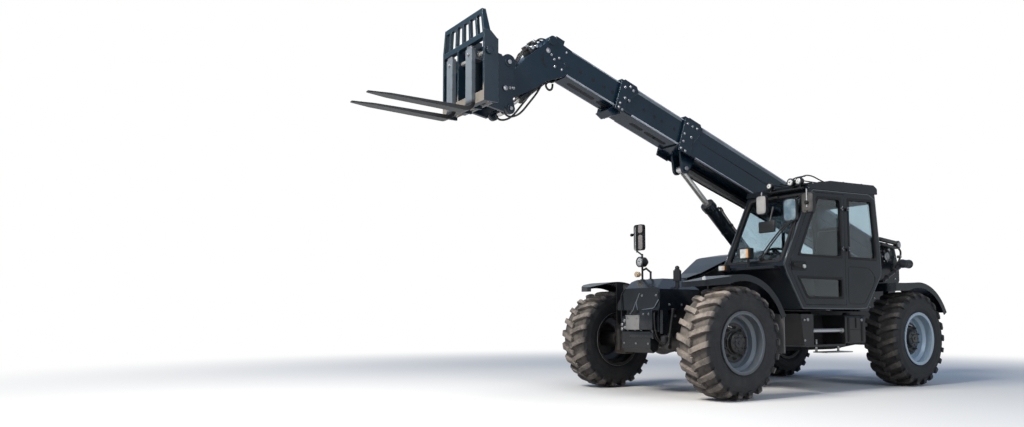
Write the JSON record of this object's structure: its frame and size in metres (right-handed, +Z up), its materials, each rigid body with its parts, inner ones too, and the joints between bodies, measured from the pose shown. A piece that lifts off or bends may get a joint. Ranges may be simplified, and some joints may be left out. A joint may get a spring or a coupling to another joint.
{
  "type": "telescopic handler",
  "caption": "Telescopic handler with an extending boom, dropped neck, fork carriage, side cab and four steered lugged wheels.",
  "frame": {"origin": "on the ground midway between the two axles, on the machine's middle plane", "axes": "+X forward towards the forks, +Y to the machine's left, +Z up"},
  "size_m": [8.7053, 2.654, 4.0794],
  "materials": {
    "dark_paint": "satin dark blue-black paint",
    "dark_plastic": "moulded black plastic",
    "tyre": "dusty rubber",
    "flap_rubber": "grey rubber sheet",
    "rim_paint": "silver-grey wheel paint",
    "clear_glass": "clear tinted glass",
    "bright_steel": "ground and plated steel",
    "fork_steel": "worn forged steel",
    "seat_fabric": "dark woven cover",
    "cast_grey": "painted casting"
  },
  "bodies": {
    "chassis": {"chassis_frame": "dark_paint", "boom_tower": "dark_paint", "counterweight": "cast_grey", "front_axle": "cast_grey", "rear_axle": "cast_grey", "cab_shell": "dark_paint", "cab_roof": "dark_plastic", "cab_glass": "clear_glass", "cab_seat": "seat_fabric", "cab_console": "dark_plastic", "bay_wall": "dark_paint", "engine_tray": "dark_paint", "engine_block": "cast_grey", "step_box": "dark_paint", "step_bar": "bright_steel", "fuel_tank": "dark_paint", "front_nose": "dark_paint", "air_post": "dark_paint", "roof_lamps": "dark_paint", "head_lamps": "dark_paint", "cab_mirrors": "dark_paint", "nose_mirror": "dark_paint", "rear_lamp": "dark_paint"},
    "knuckle_front_left": {"knuckle_front_left": "dark_paint", "fender_front_left": "dark_plastic", "flap_front_left": "flap_rubber"},
    "wheel_front_left": {"rim_front_left": "rim_paint", "tyre_front_left": "tyre"},
    "knuckle_front_right": {"knuckle_front_right": "dark_paint", "fender_front_right": "dark_plastic", "flap_front_right": "flap_rubber"},
    "wheel_front_right": {"rim_front_right": "rim_paint", "tyre_front_right": "tyre"},
    "knuckle_rear_left": {"knuckle_rear_left": "dark_paint", "fender_rear_left": "dark_plastic"},
    "wheel_rear_left": {"rim_rear_left": "rim_paint", "tyre_rear_left": "tyre"},
    "knuckle_rear_right": {"knuckle_rear_right": "dark_paint", "fender_rear_right": "dark_plastic"},
    "wheel_rear_right": {"rim_rear_right": "rim_paint", "tyre_rear_right": "tyre"},
    "boom_outer": {"boom_outer": "dark_paint"},
    "boom_mid": {"boom_mid": "dark_paint"},
    "boom_inner": {"boom_inner": "dark_paint"},
    "lift_barrel": {"lift_barrel": "dark_paint"},
    "lift_rod": {"lift_rod": "bright_steel"},
    "tilt_barrel": {"tilt_barrel": "dark_paint"},
    "tilt_rod": {"tilt_rod": "bright_steel"},
    "fork_head": {"coupler": "dark_paint", "carriage": "dark_paint", "fork_left": "fork_steel", "fork_right": "fork_steel", "fork_shaft": "bright_steel"},
    "door": {"door_frame": "dark_paint", "door_glass": "clear_glass"},
    "bonnet": {"bonnet": "dark_paint"}
  },
  "joints": [
    {"name": "steer_front_left", "type": "hinge", "parent": "chassis", "child": "knuckle_front_left", "pos_m": [1.73, 0.8, 0.63], "axis": [0, 0, 1], "range_deg": [-35, 35]},
    {"name": "spin_front_left", "type": "hinge", "parent": "knuckle_front_left", "child": "wheel_front_left", "pos_m": [1.73, 1.04, 0.63], "axis": [0, 1, 0], "continuous": true},
    {"name": "steer_front_right", "type": "hinge", "parent": "chassis", "child": "knuckle_front_right", "pos_m": [1.73, -0.8, 0.63], "axis": [0, 0, 1], "range_deg": [-35, 35]},
    {"name": "spin_front_right", "type": "hinge", "parent": "knuckle_front_right", "child": "wheel_front_right", "pos_m": [1.73, -1.04, 0.63], "axis": [0, 1, 0], "continuous": true},
    {"name": "steer_rear_left", "type": "hinge", "parent": "chassis", "child": "knuckle_rear_left", "pos_m": [-1.73, 0.8, 0.63], "axis": [0, 0, -1], "range_deg": [-35, 35]},
    {"name": "spin_rear_left", "type": "hinge", "parent": "knuckle_rear_left", "child": "wheel_rear_left", "pos_m": [-1.73, 1.04, 0.63], "axis": [0, 1, 0], "continuous": true},
    {"name": "steer_rear_right", "type": "hinge", "parent": "chassis", "child": "knuckle_rear_right", "pos_m": [-1.73, -0.8, 0.63], "axis": [0, 0, -1], "range_deg": [-35, 35]},
    {"name": "spin_rear_right", "type": "hinge", "parent": "knuckle_rear_right", "child": "wheel_rear_right", "pos_m": [-1.73, -1.04, 0.63], "axis": [0, 1, 0], "continuous": true},
    {"name": "boom_lift", "type": "hinge", "parent": "chassis", "child": "boom_outer", "pos_m": [-2.62, 0, 1.83], "axis": [0, -1, 0], "range_deg": [-14, 38]},
    {"name": "boom_extend", "type": "slide", "parent": "boom_outer", "child": "boom_mid", "axis": [0.95, 0, 0.3123], "range_m": [-0.7, 1.85]},
    {"name": "boom_extend_inner", "type": "slide", "parent": "boom_mid", "child": "boom_inner", "axis": [0.95, 0, 0.3123], "range_m": [-0.7, 1.85]},
    {"name": "lift_barrel_swing", "type": "hinge", "parent": "chassis", "child": "lift_barrel", "pos_m": [-1.1, 0, 0.612], "axis": [0, -1, 0], "range_deg": [-13.94, 36.98]},
    {"name": "lift_rod_stroke", "type": "slide", "parent": "lift_barrel", "child": "lift_rod", "axis": [0.7533, 0, 0.6576], "range_m": [-0.5279, 1.4243]},
    {"name": "fork_tilt", "type": "hinge", "parent": "boom_inner", "child": "fork_head", "pos_m": [4.13957, 0, 3.33031], "axis": [0, 1, 0], "range_deg": [-25, 55]},
    {"name": "tilt_barrel_swing", "type": "hinge", "parent": "boom_inner", "child": "tilt_barrel", "pos_m": [3.29032, 0, 3.75216], "axis": [0, 1, 0], "range_deg": [-0.75, 1.05]},
    {"name": "tilt_rod_stroke", "type": "slide", "parent": "tilt_barrel", "child": "tilt_rod", "axis": [0.7768, 0, -0.6298], "range_m": [-0.2066, 0.0966]},
    {"name": "door_swing", "type": "hinge", "parent": "chassis", "child": "door", "pos_m": [-0.245, 1.216, 1.5], "axis": [0, 0, 1], "range_deg": [0, 95]},
    {"name": "bonnet_lift", "type": "hinge", "parent": "chassis", "child": "bonnet", "pos_m": [0, -0.391, 1.86], "axis": [-1, 0, 0], "range_deg": [0, 60]}
  ],
  "couplings": [
    {"joint": "steer_front_right", "follows": "steer_front_left", "ratio": 1},
    {"joint": "steer_rear_right", "follows": "steer_rear_left", "ratio": 1},
    {"joint": "boom_extend_inner", "follows": "boom_extend", "ratio": 1},
    {"joint": "lift_barrel_swing", "follows": "boom_lift", "ratio": 0.96},
    {"joint": "lift_rod_stroke", "follows": "boom_lift", "m_per_rad": 2.14},
    {"joint": "tilt_barrel_swing", "follows": "fork_tilt", "ratio": 0.01},
    {"joint": "tilt_rod_stroke", "follows": "fork_tilt", "m_per_rad": -0.21}
  ]
}
